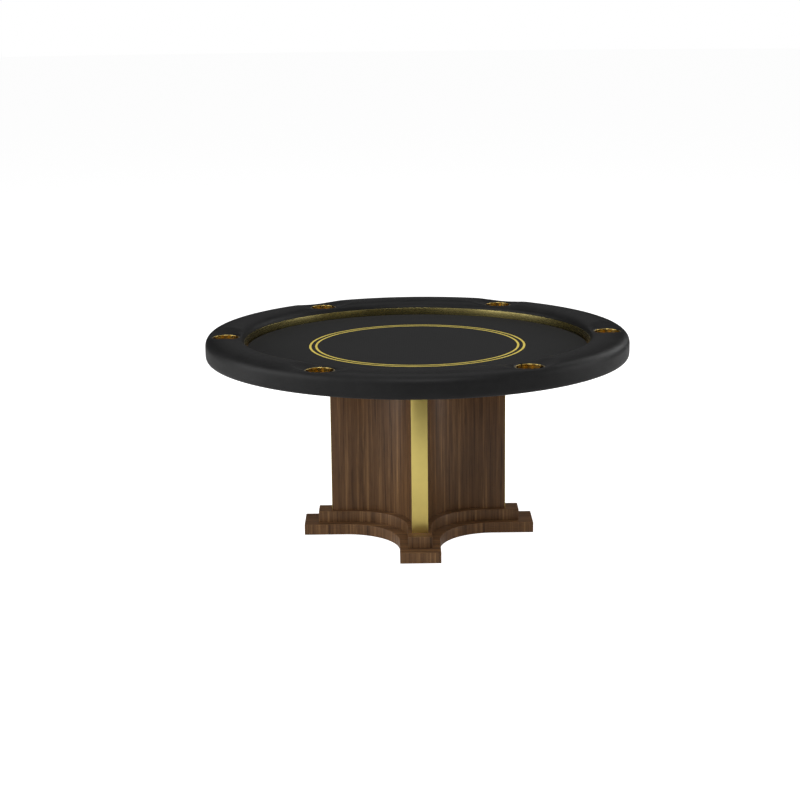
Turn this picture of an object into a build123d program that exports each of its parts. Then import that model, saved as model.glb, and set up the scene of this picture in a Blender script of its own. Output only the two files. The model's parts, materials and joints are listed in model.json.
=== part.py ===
from build123d import *
import math
import os

# Round gaming table: a padded rail round a sunken cloth field, on a cross-shaped pedestal.
# Millimetres, +Z up. Origin on the floor under the table's centre. The pedestal's four
# arms lie along +X, +Y, -X and -Y.

# Overall
table_radius = 762.0            # over the padded rail
table_height = 749.0            # floor to the top of the rail's crown

# Padded rail
rail_width = 141.0              # outer wall to the face of the brass band
rail_depth = 88.0               # underside of the rail to its crown
crown_rise = 12.0               # crown above the rail's two top corners
outer_round = 32.0              # top outer corner of the rail
inner_round = 27.5              # top inner corner of the rail
under_round = 13.5              # bottom outer corner of the rail
cover_thickness = 1.2           # vinyl
cover_tuck = 60.0               # vinyl turned in under the deck
side_padding = 14.8             # foam on the rail's outer wall
ring_thickness = 18.0           # each of the two plywood rings in the rail
deck_thickness = 18.0           # plywood disc that carries the top

# Brass band round the playing field
band_thickness = 2.0
band_above_cloth = 25.0
band_clearance = 0.2            # between the band and the vinyl behind it

# Playing field
field_groove = 6.0              # open groove between the cloth and the brass band
cloth_thickness = 1.0
board_thickness = 9.0
field_foam_thickness = 3.0
field_edge_round = 2.5          # top edge of the field's foam
cloth_tuck = 48.0               # cloth turned in under the board
line_width = 8.0                # each gold ring on the cloth
line_thickness = 0.2            # foil pressed in flush with the cloth
outer_line_radius = 386.0       # middle of the larger gold ring
inner_line_radius = 364.5       # middle of the smaller gold ring

# Cup holders
cup_count = 6
cup_start_angle = 1.5           # first cup, in degrees from +X
cup_inset = 73.0                # cup's axis to the rail's outer wall
cup_inner_radius = 45.5
cup_wall = 1.2
cup_floor_gap = 1.5             # underside of the cup above the deck
cup_rim_width = 3.8             # rim beyond the cup's outer wall
cup_rim_below_corner = 5.0      # rim below the rail's top corners before they are rounded
cup_edge_round = 0.5
cup_clearance = 0.5             # all round the cup's wall and rim

# Pedestal column
arm_width = 57.2
column_reach = 318.0            # centre to the face of a brass strip
column_bay_radius = 180.0       # hollow curve between two arms
panel_thickness = 9.0           # veneered bent plywood
post_depth = 45.0               # timber post in the end of each arm
plate_thickness = 18.0          # plywood plates in the foot and head of the column
strip_thickness = 1.5           # brass strip on the end of each arm

# Plinth, in two steps
floor_gap = 2.0                 # underside of the plinth above the floor
lower_step_height = 39.0
upper_step_height = 41.0
upper_end_ledge = 49.0          # upper step beyond the brass strips
upper_side_ledge = 13.6         # upper step beyond the sides of the arms
lower_end_ledge = 51.8          # lower step beyond the upper step, at the arm ends
lower_side_ledge = 29.6
plinth_bay_radius = 200.0       # hollow curve between two arms of the plinth
dowel_radius = 5.0
dowel_length = 30.0
dowel_inset = 60.0              # dowel's axis to the end of the upper step
dowel_clearance = 0.05

# Levelling feet
foot_inset = 45.0               # foot's axis to the end of the lower step
foot_pad_radius = 19.0
foot_recess_depth = 5.0
foot_recess_clearance = 2.0
foot_edge_round = 1.5
foot_socket_depth = 4.0
stem_radius = 5.0
stem_length = 33.0
stem_clearance = 0.08
stem_headroom = 3.0             # hollow above the stem when it is screwed right in
insert_wall = 2.5
insert_length = 18.0
insert_clearance = 0.05

# Battens under the deck
batten_width = 70.0
batten_height = 40.0
batten_end_height = 20.0
batten_setback = 61.0           # end of a batten to the face of the brass band
batten_flat_margin = 12.0       # flat underside beyond the column
lap_clearance = 0.1

# Tie rods through the battens, the column and the plinth
rod_radius = 6.0
rod_offset = 120.0              # rod's axis to the table's axis
rod_clearance = 0.5             # round a rod or a foot's stem that passes through wood
rod_end_recess = 4.0            # end of a rod to the face that its pocket opens in
nut_height = 10.0
nut_across_flats = 19.0
nut_clearance = 0.05
washer_radius = 15.0
washer_thickness = 2.5
washer_recess_clearance = 1.0

# Wood screws
screw_radius = 2.5
screw_head_radius = 4.5
screw_head_height = 3.0
screw_clearance = 0.05
rail_screw_count = 12
rail_screw_inset = 30.0         # screw's axis to the inner wall of the rail's rings
rail_screw_bite = 24.0          # length in the rings
rail_screw_start_angle = 16.5   # a quarter of the way from one cup to the next
field_screw_count = 8
field_screw_setback = 32.0      # screw's axis to the inner edge of the turned-in cloth
field_screw_bite = 7.0          # length in the playing board
field_screw_start_angle = 22.5
batten_screw_spacing = 100.0
batten_screw_end = 50.0         # outermost screw to the end of its batten
batten_screw_grip = 18.0        # length in the batten
batten_screw_bite = 12.0        # length in the deck

# Heights, from the floor up
lower_step_top = floor_gap + lower_step_height
upper_step_top = lower_step_top + upper_step_height
rail_bottom = table_height - rail_depth
deck_bottom = rail_bottom + cover_thickness
deck_top = deck_bottom + deck_thickness
column_top = deck_bottom - batten_height
rings_top = deck_top + 2 * ring_thickness
board_bottom = deck_top + cloth_thickness
board_top = board_bottom + board_thickness
cloth_top = board_top + field_foam_thickness + cloth_thickness
band_top = cloth_top + band_above_cloth
corner_height = table_height - crown_rise
cup_rim_top = corner_height - cup_rim_below_corner

# Radii, from the table's axis
well_radius = table_radius - rail_width
rail_inner_radius = well_radius + band_thickness + band_clearance
ring_inner_radius = rail_inner_radius + cover_thickness
deck_radius = table_radius - cover_thickness - side_padding
tuck_radius = deck_radius - cover_tuck
board_radius = well_radius - field_groove - cloth_thickness
cloth_tuck_radius = board_radius - cloth_tuck
cup_circle_radius = table_radius - cup_inset
cup_outer_radius = cup_inner_radius + cup_wall
cup_rim_radius = cup_outer_radius + cup_rim_width
batten_reach = well_radius - batten_setback

# Pedestal plan
half_arm = arm_width / 2
wood_reach = column_reach - strip_thickness
upper_reach = column_reach + upper_end_ledge
upper_half = half_arm + upper_side_ledge
lower_reach = upper_reach + lower_end_ledge
lower_half = upper_half + lower_side_ledge
foot_circle_radius = lower_reach - foot_inset
recess_top = floor_gap + foot_recess_depth

arm_names = ["right", "back", "left", "front"]
arm_angles = [0, 90, 180, 270]
bay_names = ["back_right", "back_left", "front_left", "front_right"]

nodes = {}


def disc(radius, low, high):
    """Upright cylinder on the table's axis."""
    at_base = (Align.CENTER, Align.CENTER, Align.MIN)
    return Pos(0, 0, low) * Cylinder(radius, high - low, align=at_base)


def ring(inner_radius, outer_radius, low, high):
    return disc(outer_radius, low, high) - disc(inner_radius, low, high)


def spots(count, radius, start_angle=0.0):
    """Places evenly spaced on a circle about the table's axis."""
    step = 360.0 / count
    return [Rot(0, 0, start_angle + k * step) * Pos(radius, 0, 0) for k in range(count)]


def turned(profile):
    """Solid of revolution from a profile drawn with X as radius and Y as height."""
    return revolve(Plane.XZ * profile, Axis.Z, 360)


def rectangle(left, bottom, right, top):
    return Pos((left + right) / 2, (bottom + top) / 2) * Rectangle(right - left, top - bottom)


def group(solids):
    return Compound(children=solids)


def cross_plan(reach, half_width, bay_radius):
    """Plan of a four-armed cross with a hollow curve in each inside corner."""
    plan = Rectangle(2 * reach, 2 * half_width) + Rectangle(2 * half_width, 2 * reach)
    corners = plan.vertices().filter_by(
        lambda v: math.isclose(abs(v.X), half_width, abs_tol=0.01)
        and math.isclose(abs(v.Y), half_width, abs_tol=0.01)
    )
    return fillet(corners, bay_radius)


def cross_block(reach, half_width, bay_radius, low, high):
    plan = cross_plan(reach, half_width, bay_radius)
    return Pos(0, 0, low) * extrude(plan, high - low)


def screw(grip, bite, clearance=0.0):
    """Screw standing on its head at the origin, or the hole it fits with a clearance."""
    head = disc(screw_head_radius + clearance, 0, screw_head_height)
    shank = disc(screw_radius + clearance, 0, grip + bite + clearance)
    return head + shank


def make_dowels():
    low = lower_step_top - dowel_length / 2
    high = lower_step_top + dowel_length / 2
    places = spots(4, upper_reach - dowel_inset)
    pins = [place * disc(dowel_radius, low, high) for place in places]
    holes = [place * disc(dowel_radius + dowel_clearance, low, high) for place in places]
    nodes["plinth_dowels"] = group(pins)
    return holes


def foot_holes():
    """Recess, insert bore and stem hole for each levelling foot."""
    insert_radius = stem_radius + insert_wall
    stem_top = recess_top - foot_socket_depth + stem_length + stem_headroom
    pocket = disc(foot_pad_radius + foot_recess_clearance, floor_gap, recess_top)
    pocket += disc(insert_radius + insert_clearance, recess_top, recess_top + insert_length)
    pocket += disc(stem_radius + rod_clearance, recess_top, stem_top)
    return [place * pocket for place in spots(4, foot_circle_radius)]


def make_feet():
    """Swivel pad, threaded stem and threaded insert at the end of each arm."""
    pad = disc(foot_pad_radius, 0, recess_top)
    pad = fillet(pad.edges().group_by(Axis.Z)[0], foot_edge_round)
    socket_low = recess_top - foot_socket_depth
    pad -= disc(stem_radius + stem_clearance, socket_low, recess_top)
    stem = disc(stem_radius, socket_low, socket_low + stem_length)
    bore = stem_radius + stem_clearance
    insert = ring(bore, stem_radius + insert_wall, recess_top, recess_top + insert_length)
    places = spots(4, foot_circle_radius)
    for name, place in zip(arm_names, places):
        nodes[f"foot_pad_{name}"] = place * pad
        nodes[f"foot_stem_{name}"] = place * stem
    nodes["foot_inserts"] = group([place * insert for place in places])


def make_plinth(rod_places):
    """Two stepped crosses, dowelled together and drilled for the rods and the feet."""
    dowel_holes = make_dowels()
    pocket_depth = rod_end_recess + nut_height + washer_thickness
    pocket_radius = washer_radius + washer_recess_clearance
    lower = cross_block(lower_reach, lower_half, plinth_bay_radius, floor_gap, lower_step_top)
    upper = cross_block(upper_reach, upper_half, plinth_bay_radius, lower_step_top, upper_step_top)
    rod_hole = disc(rod_radius + rod_clearance, floor_gap, upper_step_top)
    pocket = disc(pocket_radius, floor_gap, floor_gap + pocket_depth)
    for place in rod_places:
        lower -= place * rod_hole
        lower -= place * pocket
        upper -= place * rod_hole
    for hole in dowel_holes:
        lower -= hole
        upper -= hole
    for hole in foot_holes():
        lower -= hole
    nodes["lower_plinth"] = lower
    nodes["upper_plinth"] = upper


def make_column(rod_places):
    """Plywood plates, four timber posts, four bent panels and four brass strips."""
    inner_half = half_arm - panel_thickness
    inner_bay = column_bay_radius + panel_thickness
    rod_hole = disc(rod_radius + rod_clearance, upper_step_top, column_top)
    plate_levels = {
        "column_foot_plate": upper_step_top,
        "column_head_plate": column_top - plate_thickness,
    }
    for name, low in plate_levels.items():
        plate = cross_block(wood_reach, inner_half, inner_bay, low, low + plate_thickness)
        for place in rod_places:
            plate -= place * rod_hole
        nodes[name] = plate

    post_low = upper_step_top + plate_thickness
    post_height = column_top - plate_thickness - post_low
    post = Box(post_depth, 2 * inner_half, post_height, align=(Align.MAX, Align.CENTER, Align.MIN))
    post = Pos(wood_reach, 0, post_low) * post
    strip = Box(strip_thickness, arm_width, column_top - upper_step_top,
                align=(Align.MIN, Align.CENTER, Align.MIN))
    strip = Pos(wood_reach, 0, upper_step_top) * strip
    for name, angle in zip(arm_names, arm_angles):
        nodes[f"column_post_{name}"] = Rot(0, 0, angle) * post
        nodes[f"brass_strip_{name}"] = Rot(0, 0, angle) * strip

    outer = cross_plan(wood_reach, half_arm, column_bay_radius)
    inner = cross_plan(2 * wood_reach, inner_half, inner_bay)
    one_bay = rectangle(0, 0, wood_reach, wood_reach)
    panel = (outer - inner) & one_bay
    panel = Pos(0, 0, upper_step_top) * extrude(panel, column_top - upper_step_top)
    for name, angle in zip(bay_names, arm_angles):
        nodes[f"column_panel_{name}"] = Rot(0, 0, angle) * panel


def make_tie_rods(rod_places):
    """Threaded rods with a nut and a washer at each end, in pockets."""
    rod_low = floor_gap + rod_end_recess
    rod_high = deck_bottom - rod_end_recess
    rod = disc(rod_radius, rod_low, rod_high)
    nut_radius = nut_across_flats / math.sqrt(3)
    nut = extrude(RegularPolygon(nut_radius, 6), nut_height)
    nut -= disc(rod_radius + nut_clearance, 0, nut_height)
    washer = ring(rod_radius + rod_clearance, washer_radius, 0, washer_thickness)
    low_nut = Pos(0, 0, rod_low) * nut
    low_washer = Pos(0, 0, rod_low + nut_height) * washer
    high_nut = Pos(0, 0, rod_high - nut_height) * nut
    high_washer = Pos(0, 0, rod_high - nut_height - washer_thickness) * washer
    nodes["tie_rods"] = group([place * rod for place in rod_places])
    nodes["tie_rod_nuts"] = group([place * n for place in rod_places for n in (low_nut, high_nut)])
    nodes["tie_rod_washers"] = group(
        [place * w for place in rod_places for w in (low_washer, high_washer)]
    )


def batten_screw_places():
    outermost = batten_reach - batten_screw_end
    return [
        place
        for radius in (outermost, outermost - batten_screw_spacing)
        for place in spots(4, radius)
    ]


def make_battens(rod_places):
    """Two tapered battens, halved together where they cross."""
    flat = column_reach + batten_flat_margin
    end_bottom = deck_bottom - batten_end_height
    outline = Polyline(
        (-batten_reach, deck_bottom),
        (-batten_reach, end_bottom),
        (-flat, column_top),
        (flat, column_top),
        (batten_reach, end_bottom),
        (batten_reach, deck_bottom),
        close=True,
    )
    batten = extrude(Plane.XZ * make_face(outline), batten_width / 2, both=True)
    middle = (column_top + deck_bottom) / 2
    notch_width = batten_width + 2 * lap_clearance
    notch = Box(notch_width, batten_width, batten_height / 2,
                align=(Align.CENTER, Align.CENTER, Align.MIN))
    long_batten = batten - Pos(0, 0, middle) * notch
    cross_batten = Rot(0, 0, 90) * (batten - Pos(0, 0, column_top) * notch)

    pocket_depth = rod_end_recess + nut_height + washer_thickness
    pocket_radius = washer_radius + washer_recess_clearance
    rod_hole = disc(rod_radius + rod_clearance, column_top, deck_bottom)
    rod_hole += disc(pocket_radius, deck_bottom - pocket_depth, deck_bottom)
    screw_foot = deck_bottom - batten_screw_grip
    screw_hole = Pos(0, 0, screw_foot) * screw(batten_screw_grip, batten_screw_bite, screw_clearance)
    screw_hole += disc(screw_head_radius + screw_clearance, column_top, screw_foot)
    cuts = [place * rod_hole for place in rod_places]
    cuts += [place * screw_hole for place in batten_screw_places()]
    for cut in cuts:
        long_batten -= cut
        cross_batten -= cut
    nodes["long_batten"] = long_batten
    nodes["cross_batten"] = cross_batten


def make_screws_and_deck():
    """Deck disc, and the screws that hold it, the rail and the playing board."""
    screw_sets = {
        "batten_screws": (batten_screw_places(), deck_bottom - batten_screw_grip,
                          batten_screw_grip, batten_screw_bite),
        "rail_screws": (spots(rail_screw_count, ring_inner_radius + rail_screw_inset,
                              rail_screw_start_angle),
                        deck_bottom, deck_thickness, rail_screw_bite),
        "field_screws": (spots(field_screw_count, cloth_tuck_radius - field_screw_setback,
                               field_screw_start_angle),
                         deck_bottom, deck_thickness + cloth_thickness, field_screw_bite),
    }
    holes = {}
    for name, (places, foot, grip, bite) in screw_sets.items():
        solid = Pos(0, 0, foot) * screw(grip, bite)
        hole = Pos(0, 0, foot) * screw(grip, bite, screw_clearance)
        nodes[name] = group([place * solid for place in places])
        holes[name] = [place * hole for place in places]

    deck = disc(deck_radius, deck_bottom, deck_top)
    for hole in holes["batten_screws"] + holes["rail_screws"] + holes["field_screws"]:
        deck -= hole
    nodes["deck"] = deck
    return holes


def rail_outline():
    """Section of the whole rail, down to its underside, with a crowned top."""
    crown_middle = (table_radius + rail_inner_radius) / 2
    sides = Polyline(
        (rail_inner_radius, corner_height),
        (rail_inner_radius, rail_bottom),
        (table_radius, rail_bottom),
        (table_radius, corner_height),
    )
    crown = ThreePointArc(
        (table_radius, corner_height),
        (crown_middle, table_height),
        (rail_inner_radius, corner_height),
    )
    section = make_face(Curve() + [sides, crown])
    corner_rounds = [
        (table_radius, rail_bottom, under_round),
        (table_radius, corner_height, outer_round),
        (rail_inner_radius, corner_height, inner_round),
    ]
    for x, y, radius in corner_rounds:
        corner = section.vertices().sort_by_distance((x, y, 0))[0]
        section = fillet(corner, radius)
    return section


def cup_places():
    return spots(cup_count, cup_circle_radius, cup_start_angle)


def make_rail(rail_screw_holes):
    """Two plywood rings, foam over them, and the vinyl over the foam."""
    outer = rail_outline()
    inner = offset(outer, -cover_thickness)
    over_deck = rectangle(0, rail_bottom, tuck_radius, deck_top)
    cover = turned(outer - inner - over_deck)
    under_foam = rectangle(0, 0, deck_radius, rings_top)
    foam = turned(inner - under_foam)

    low_ring = ring(ring_inner_radius, deck_radius, deck_top, deck_top + ring_thickness)
    high_ring = ring(ring_inner_radius, deck_radius, deck_top + ring_thickness, rings_top)
    bore = disc(cup_outer_radius + cup_clearance, deck_top, table_height)
    rim_seat = disc(cup_rim_radius + cup_clearance, cup_rim_top - cup_wall, table_height)
    for place in cup_places():
        low_ring -= place * bore
        high_ring -= place * bore
        foam -= place * (bore + rim_seat)
        cover -= place * (bore + rim_seat)
    for hole in rail_screw_holes:
        low_ring -= hole
        high_ring -= hole
    nodes["rail_ring_lower"] = low_ring
    nodes["rail_ring_upper"] = high_ring
    nodes["rail_foam"] = foam
    nodes["rail_cover"] = cover
    nodes["brass_band"] = ring(well_radius, well_radius + band_thickness, deck_top, band_top)


def make_cups():
    """Spun cup with a flat floor and a narrow rim that rests on the rail."""
    floor = deck_top + cup_floor_gap
    cup = disc(cup_outer_radius, floor, cup_rim_top)
    cup += disc(cup_rim_radius, cup_rim_top - cup_wall, cup_rim_top)
    cup -= disc(cup_inner_radius, floor + cup_wall, cup_rim_top)
    rim_edges = cup.edges().group_by(Axis.Z)[-1]
    cup = fillet(rim_edges, cup_edge_round)
    for number, place in enumerate(cup_places(), start=1):
        nodes[f"cup_holder_{number}"] = place * cup


def make_field(field_screw_holes):
    """Board and foam wrapped in cloth, with two gold rings pressed into the cloth."""
    board = disc(board_radius, board_bottom, board_top)
    for hole in field_screw_holes:
        board -= hole
    foam = disc(board_radius, board_top, board_top + field_foam_thickness)
    foam = fillet(foam.edges().group_by(Axis.Z)[-1], field_edge_round)

    stuffing = rectangle(0, board_bottom, board_radius, board_top + field_foam_thickness)
    corner = stuffing.vertices().sort_by_distance((board_radius, cloth_top, 0))[0]
    stuffing = fillet(corner, field_edge_round)
    wrapped = offset(stuffing, cloth_thickness)
    across_axis = rectangle(-board_radius, 0, 0, table_height)
    under_board = rectangle(0, 0, cloth_tuck_radius, board_bottom)
    nodes["playing_board"] = board
    nodes["field_foam"] = foam
    cloth = turned(wrapped - stuffing - across_axis - under_board)

    line_radii = {"gold_line_outer": outer_line_radius, "gold_line_inner": inner_line_radius}
    for name, radius in line_radii.items():
        nodes[name] = ring(radius - line_width / 2, radius + line_width / 2,
                           cloth_top - line_thickness, cloth_top)
        cloth -= nodes[name]
    nodes["field_cloth"] = cloth


def make_table():
    rod_places = spots(4, rod_offset)
    make_feet()
    make_plinth(rod_places)
    make_column(rod_places)
    make_tie_rods(rod_places)
    make_battens(rod_places)
    holes = make_screws_and_deck()
    make_rail(holes["rail_screws"])
    make_cups()
    make_field(holes["field_screws"])


make_table()
os.makedirs("parts", exist_ok=True)
for name, shape in nodes.items():
    shape.label = name
    export_step(shape, f"parts/{name}.step")
print(f"{len(nodes)} nodes written")
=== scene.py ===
import json
import math

import bmesh
import bpy
from mathutils import Matrix, Vector, noise


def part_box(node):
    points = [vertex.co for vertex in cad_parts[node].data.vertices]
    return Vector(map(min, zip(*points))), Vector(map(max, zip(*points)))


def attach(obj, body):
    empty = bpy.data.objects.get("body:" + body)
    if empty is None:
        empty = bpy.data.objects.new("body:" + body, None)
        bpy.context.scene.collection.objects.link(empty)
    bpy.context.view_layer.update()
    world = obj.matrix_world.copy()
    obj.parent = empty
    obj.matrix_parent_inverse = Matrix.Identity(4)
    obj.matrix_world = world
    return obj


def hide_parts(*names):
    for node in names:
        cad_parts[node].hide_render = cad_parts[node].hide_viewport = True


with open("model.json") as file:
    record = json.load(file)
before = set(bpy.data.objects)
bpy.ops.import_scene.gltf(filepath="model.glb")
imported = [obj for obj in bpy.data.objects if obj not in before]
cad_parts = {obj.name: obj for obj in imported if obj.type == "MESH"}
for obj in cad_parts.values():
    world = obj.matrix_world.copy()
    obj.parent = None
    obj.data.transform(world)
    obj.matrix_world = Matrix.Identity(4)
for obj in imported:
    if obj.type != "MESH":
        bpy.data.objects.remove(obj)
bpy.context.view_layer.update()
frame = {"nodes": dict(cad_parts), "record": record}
cadNodes = frame["nodes"]
mm = 0.001
creaseAngle = 35                           # degrees; a sharper turn than this stays crisp
cupCount = 6
armCount = 4
print("Frame loaded,", len(cadNodes), "nodes")


# small helpers shared by the pieces

def addPiece(name, mesh, material, body="table", smoothAngle=creaseAngle):
    piece = bpy.data.objects.new(name, mesh)
    bpy.context.scene.collection.objects.link(piece)
    mesh.materials.append(material)
    mesh.shade_smooth()
    mesh.set_sharp_from_angle(angle=math.radians(smoothAngle))
    if body:
        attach(piece, body)
    return piece


def meshFrom(name, work):
    bmesh.ops.recalc_face_normals(work, faces=work.faces)
    mesh = bpy.data.meshes.new(name)
    work.to_mesh(mesh)
    work.free()
    return mesh


def addModifier(piece, name, kind, **settings):
    modifier = piece.modifiers.new(name, kind)
    for key, value in settings.items():
        setattr(modifier, key, value)
    return modifier


def applyModifiers(piece):
    graph = bpy.context.evaluated_depsgraph_get()
    made = bpy.data.meshes.new_from_object(piece.evaluated_get(graph))
    piece.modifiers.clear()
    old = piece.data
    piece.data = made
    bpy.data.meshes.remove(old)
    made.set_sharp_from_angle(angle=math.radians(creaseAngle))


def arcPoints(centreX, centreY, radius, startAngle, endAngle, steps):
    points = []
    for i in range(steps + 1):
        angle = startAngle + (endAngle - startAngle) * i / steps
        points.append((centreX + radius * math.cos(angle), centreY + radius * math.sin(angle)))
    return points


def softCorners(points, rounding, steps=4):
    # rounds each inner corner of an open run of (radius, height) points
    result = [points[0]]
    for before, here, after in zip(points, points[1:], points[2:]):
        here = Vector(here)
        back = Vector(before) - here
        onward = Vector(after) - here
        cut = min(rounding, back.length * 0.45, onward.length * 0.45)
        first = here + back.normalized() * cut
        last = here + onward.normalized() * cut
        for i in range(steps + 1):
            t = i / steps
            spot = first * (1 - t) ** 2 + here * 2 * t * (1 - t) + last * t ** 2
            result.append(tuple(spot))
    result.append(points[-1])
    return result


def spun(name, profile, steps, closed=False, centre=(0, 0)):
    # turns (radius, height) points about an upright axis
    work = bmesh.new()
    rings = []
    for radius, height in profile:
        if radius < 1e-6:
            rings.append([work.verts.new((centre[0], centre[1], height))])
            continue
        ring = []
        for j in range(steps):
            angle = math.tau * j / steps
            x = centre[0] + radius * math.cos(angle)
            y = centre[1] + radius * math.sin(angle)
            ring.append(work.verts.new((x, y, height)))
        rings.append(ring)
    pairs = list(zip(rings, rings[1:]))
    if closed:
        pairs.append((rings[-1], rings[0]))
    for low, high in pairs:
        for j in range(steps):
            k = (j + 1) % steps
            if len(low) == 1:
                work.faces.new((low[0], high[j], high[k]))
            elif len(high) == 1:
                work.faces.new((low[j], low[k], high[0]))
            else:
                work.faces.new((low[j], low[k], high[k], high[j]))
    return meshFrom(name, work)


def slab(name, outline, low, high, ease, easeSteps=2):
    # upright solid on a plan outline, with its sharp edges eased
    work = bmesh.new()
    base = work.faces.new([work.verts.new((x, y, low)) for x, y in outline])
    grown = bmesh.ops.extrude_face_region(work, geom=[base])
    lifted = [v for v in grown["geom"] if isinstance(v, bmesh.types.BMVert)]
    bmesh.ops.translate(work, verts=lifted, vec=(0, 0, high - low))
    bmesh.ops.recalc_face_normals(work, faces=work.faces)
    sharp = [e for e in work.edges if e.calc_face_angle(0) > math.radians(30)]
    bmesh.ops.bevel(work, geom=sharp, offset=ease, segments=easeSteps, profile=0.5, affect="EDGES")
    return meshFrom(name, work)


def crossOutline(reach, halfWidth, bayRadius, arcSteps):
    # plan of four arms with a hollow curve between each two
    corner = halfWidth + bayRadius
    quarter = [(reach, halfWidth)]
    quarter += arcPoints(corner, corner, bayRadius, -math.pi / 2, -math.pi, arcSteps)
    quarter.append((halfWidth, reach))
    outline = []
    for turn in range(armCount):
        angle = turn * math.pi / 2
        for x, y in quarter:
            outline.append((x * math.cos(angle) - y * math.sin(angle),
                            x * math.sin(angle) + y * math.cos(angle)))
    return outline


def armHalfWidth(node):
    # half the width of the arm that runs along +X, at its end
    points = [v.co for v in cadNodes[node].data.vertices]
    reach = max(p.x for p in points)
    return max(p.y for p in points if p.x > reach - 2 * mm)


# material helpers

def startMaterial(name, **sockets):
    material = bpy.data.materials.new(name)
    material.use_nodes = True
    shader = material.node_tree.nodes["Principled BSDF"]
    for label, value in sockets.items():
        socket = shader.inputs[label.replace("_", " ")]
        socket.default_value = (*value, 1.0) if isinstance(value, tuple) else value
    return material


def addNode(material, kind, settings=None, **inputs):
    node = material.node_tree.nodes.new(kind)
    for key, value in (settings or {}).items():
        setattr(node, key, value)
    for label, value in inputs.items():
        # a label such as _0 is the socket's number, for nodes whose sockets share a name
        numbered = label[1:].isdigit()
        socket = node.inputs[int(label[1:]) if numbered else label.replace("_", " ")]
        if isinstance(value, bpy.types.NodeSocket):
            material.node_tree.links.new(value, socket)
        else:
            socket.default_value = value
    return node


def feed(material, label, source):
    shader = material.node_tree.nodes["Principled BSDF"]
    material.node_tree.links.new(source, shader.inputs[label])


def stretched(material, scale, source=None):
    # coordinates of the piece itself, squeezed or drawn out along each axis
    if source is None:
        source = addNode(material, "ShaderNodeTexCoord").outputs["Object"]
    return addNode(material, "ShaderNodeMapping", Vector=source, Scale=scale).outputs["Vector"]


def speckle(material, vector, scale, detail=2.0, roughness=0.5, distortion=0.0):
    node = addNode(material, "ShaderNodeTexNoise", Vector=vector, Scale=scale, Detail=detail,
                   Roughness=roughness, Distortion=distortion)
    return node.outputs["Fac"]


def ramp(material, source, stops):
    node = addNode(material, "ShaderNodeValToRGB", Fac=source)
    band = node.color_ramp
    while len(band.elements) < len(stops):
        band.elements.new(0.5)
    for element, (place, colour) in zip(band.elements, stops):
        element.position = place
        element.color = (*colour, 1.0)
    return node.outputs["Color"]


def grey(level):
    return (level, level, level)


def multiply(material, first, second, amount=1.0):
    node = addNode(material, "ShaderNodeMix", {"data_type": "RGBA", "blend_type": "MULTIPLY"},
                   Factor=amount)
    material.node_tree.links.new(first, node.inputs[6])
    material.node_tree.links.new(second, node.inputs[7])
    return node.outputs[2]


def bump(material, height, distance, strength=1.0):
    node = addNode(material, "ShaderNodeBump", Height=height, Distance=distance, Strength=strength)
    feed(material, "Normal", node.outputs["Normal"])
    return node


# finishes

walnutLook = {
    "dark": (0.045, 0.022, 0.0095),
    "middle": (0.130, 0.066, 0.028),
    "light": (0.245, 0.135, 0.058),
    "streaks": 95.0,           # across the grain, per metre
    "fineStreaks": 420.0,
    "drawnOut": 0.018,         # how far the grain is stretched along its length
    "roughness": 0.42,
}


def makeWalnut():
    look = walnutLook
    material = startMaterial("walnutVeneer", Roughness=look["roughness"], Specular_IOR_Level=0.22,
                             Coat_Weight=0.04, Coat_Roughness=0.3)
    place = addNode(material, "ShaderNodeTexCoord").outputs["Object"]
    # the grain stands upright on the walls and lies along X on level faces
    parts = addNode(material, "ShaderNodeSeparateXYZ", Vector=place).outputs
    laid = addNode(material, "ShaderNodeCombineXYZ", X=parts["Z"], Y=parts["Y"], Z=parts["X"])
    facing = addNode(material, "ShaderNodeNewGeometry").outputs["Normal"]
    upward = addNode(material, "ShaderNodeSeparateXYZ", Vector=facing).outputs["Z"]
    steepness = addNode(material, "ShaderNodeMath", {"operation": "ABSOLUTE"}, _0=upward)
    level = addNode(material, "ShaderNodeMath", {"operation": "GREATER_THAN"},
                    _0=steepness.outputs[0], _1=0.7)
    chosen = addNode(material, "ShaderNodeMix", {"data_type": "VECTOR"}, Factor=level.outputs[0])
    material.node_tree.links.new(place, chosen.inputs[4])
    material.node_tree.links.new(laid.outputs[0], chosen.inputs[5])
    grainPlace = stretched(material, (1, 1, look["drawnOut"]), chosen.outputs[1])
    figurePlace = stretched(material, (1, 1, look["drawnOut"] * 3), chosen.outputs[1])
    broad = speckle(material, figurePlace, look["streaks"] * 0.28, 3, 0.55, 0.4)
    streaks = speckle(material, grainPlace, look["streaks"], 4, 0.62, 0.25)
    fine = speckle(material, grainPlace, look["fineStreaks"], 3, 0.7)
    mixed = addNode(material, "ShaderNodeMath", {"operation": "MULTIPLY_ADD"},
                    _0=broad, _1=0.45, _2=streaks)
    colour = ramp(material, mixed.outputs[0], [
        (0.52, look["dark"]), (0.68, look["middle"]), (0.76, look["middle"]), (0.92, look["light"]),
    ])
    pores = ramp(material, fine, [(0.34, grey(0.5)), (0.47, grey(0.92)), (0.75, grey(1.0))])
    feed(material, "Base Color", multiply(material, colour, pores))
    bump(material, fine, 0.15 * mm, 0.35)
    return material


beechLook = {"light": (0.50, 0.33, 0.19), "dark": (0.36, 0.22, 0.12), "streaks": 90.0, "drawnOut": 0.03}


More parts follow.
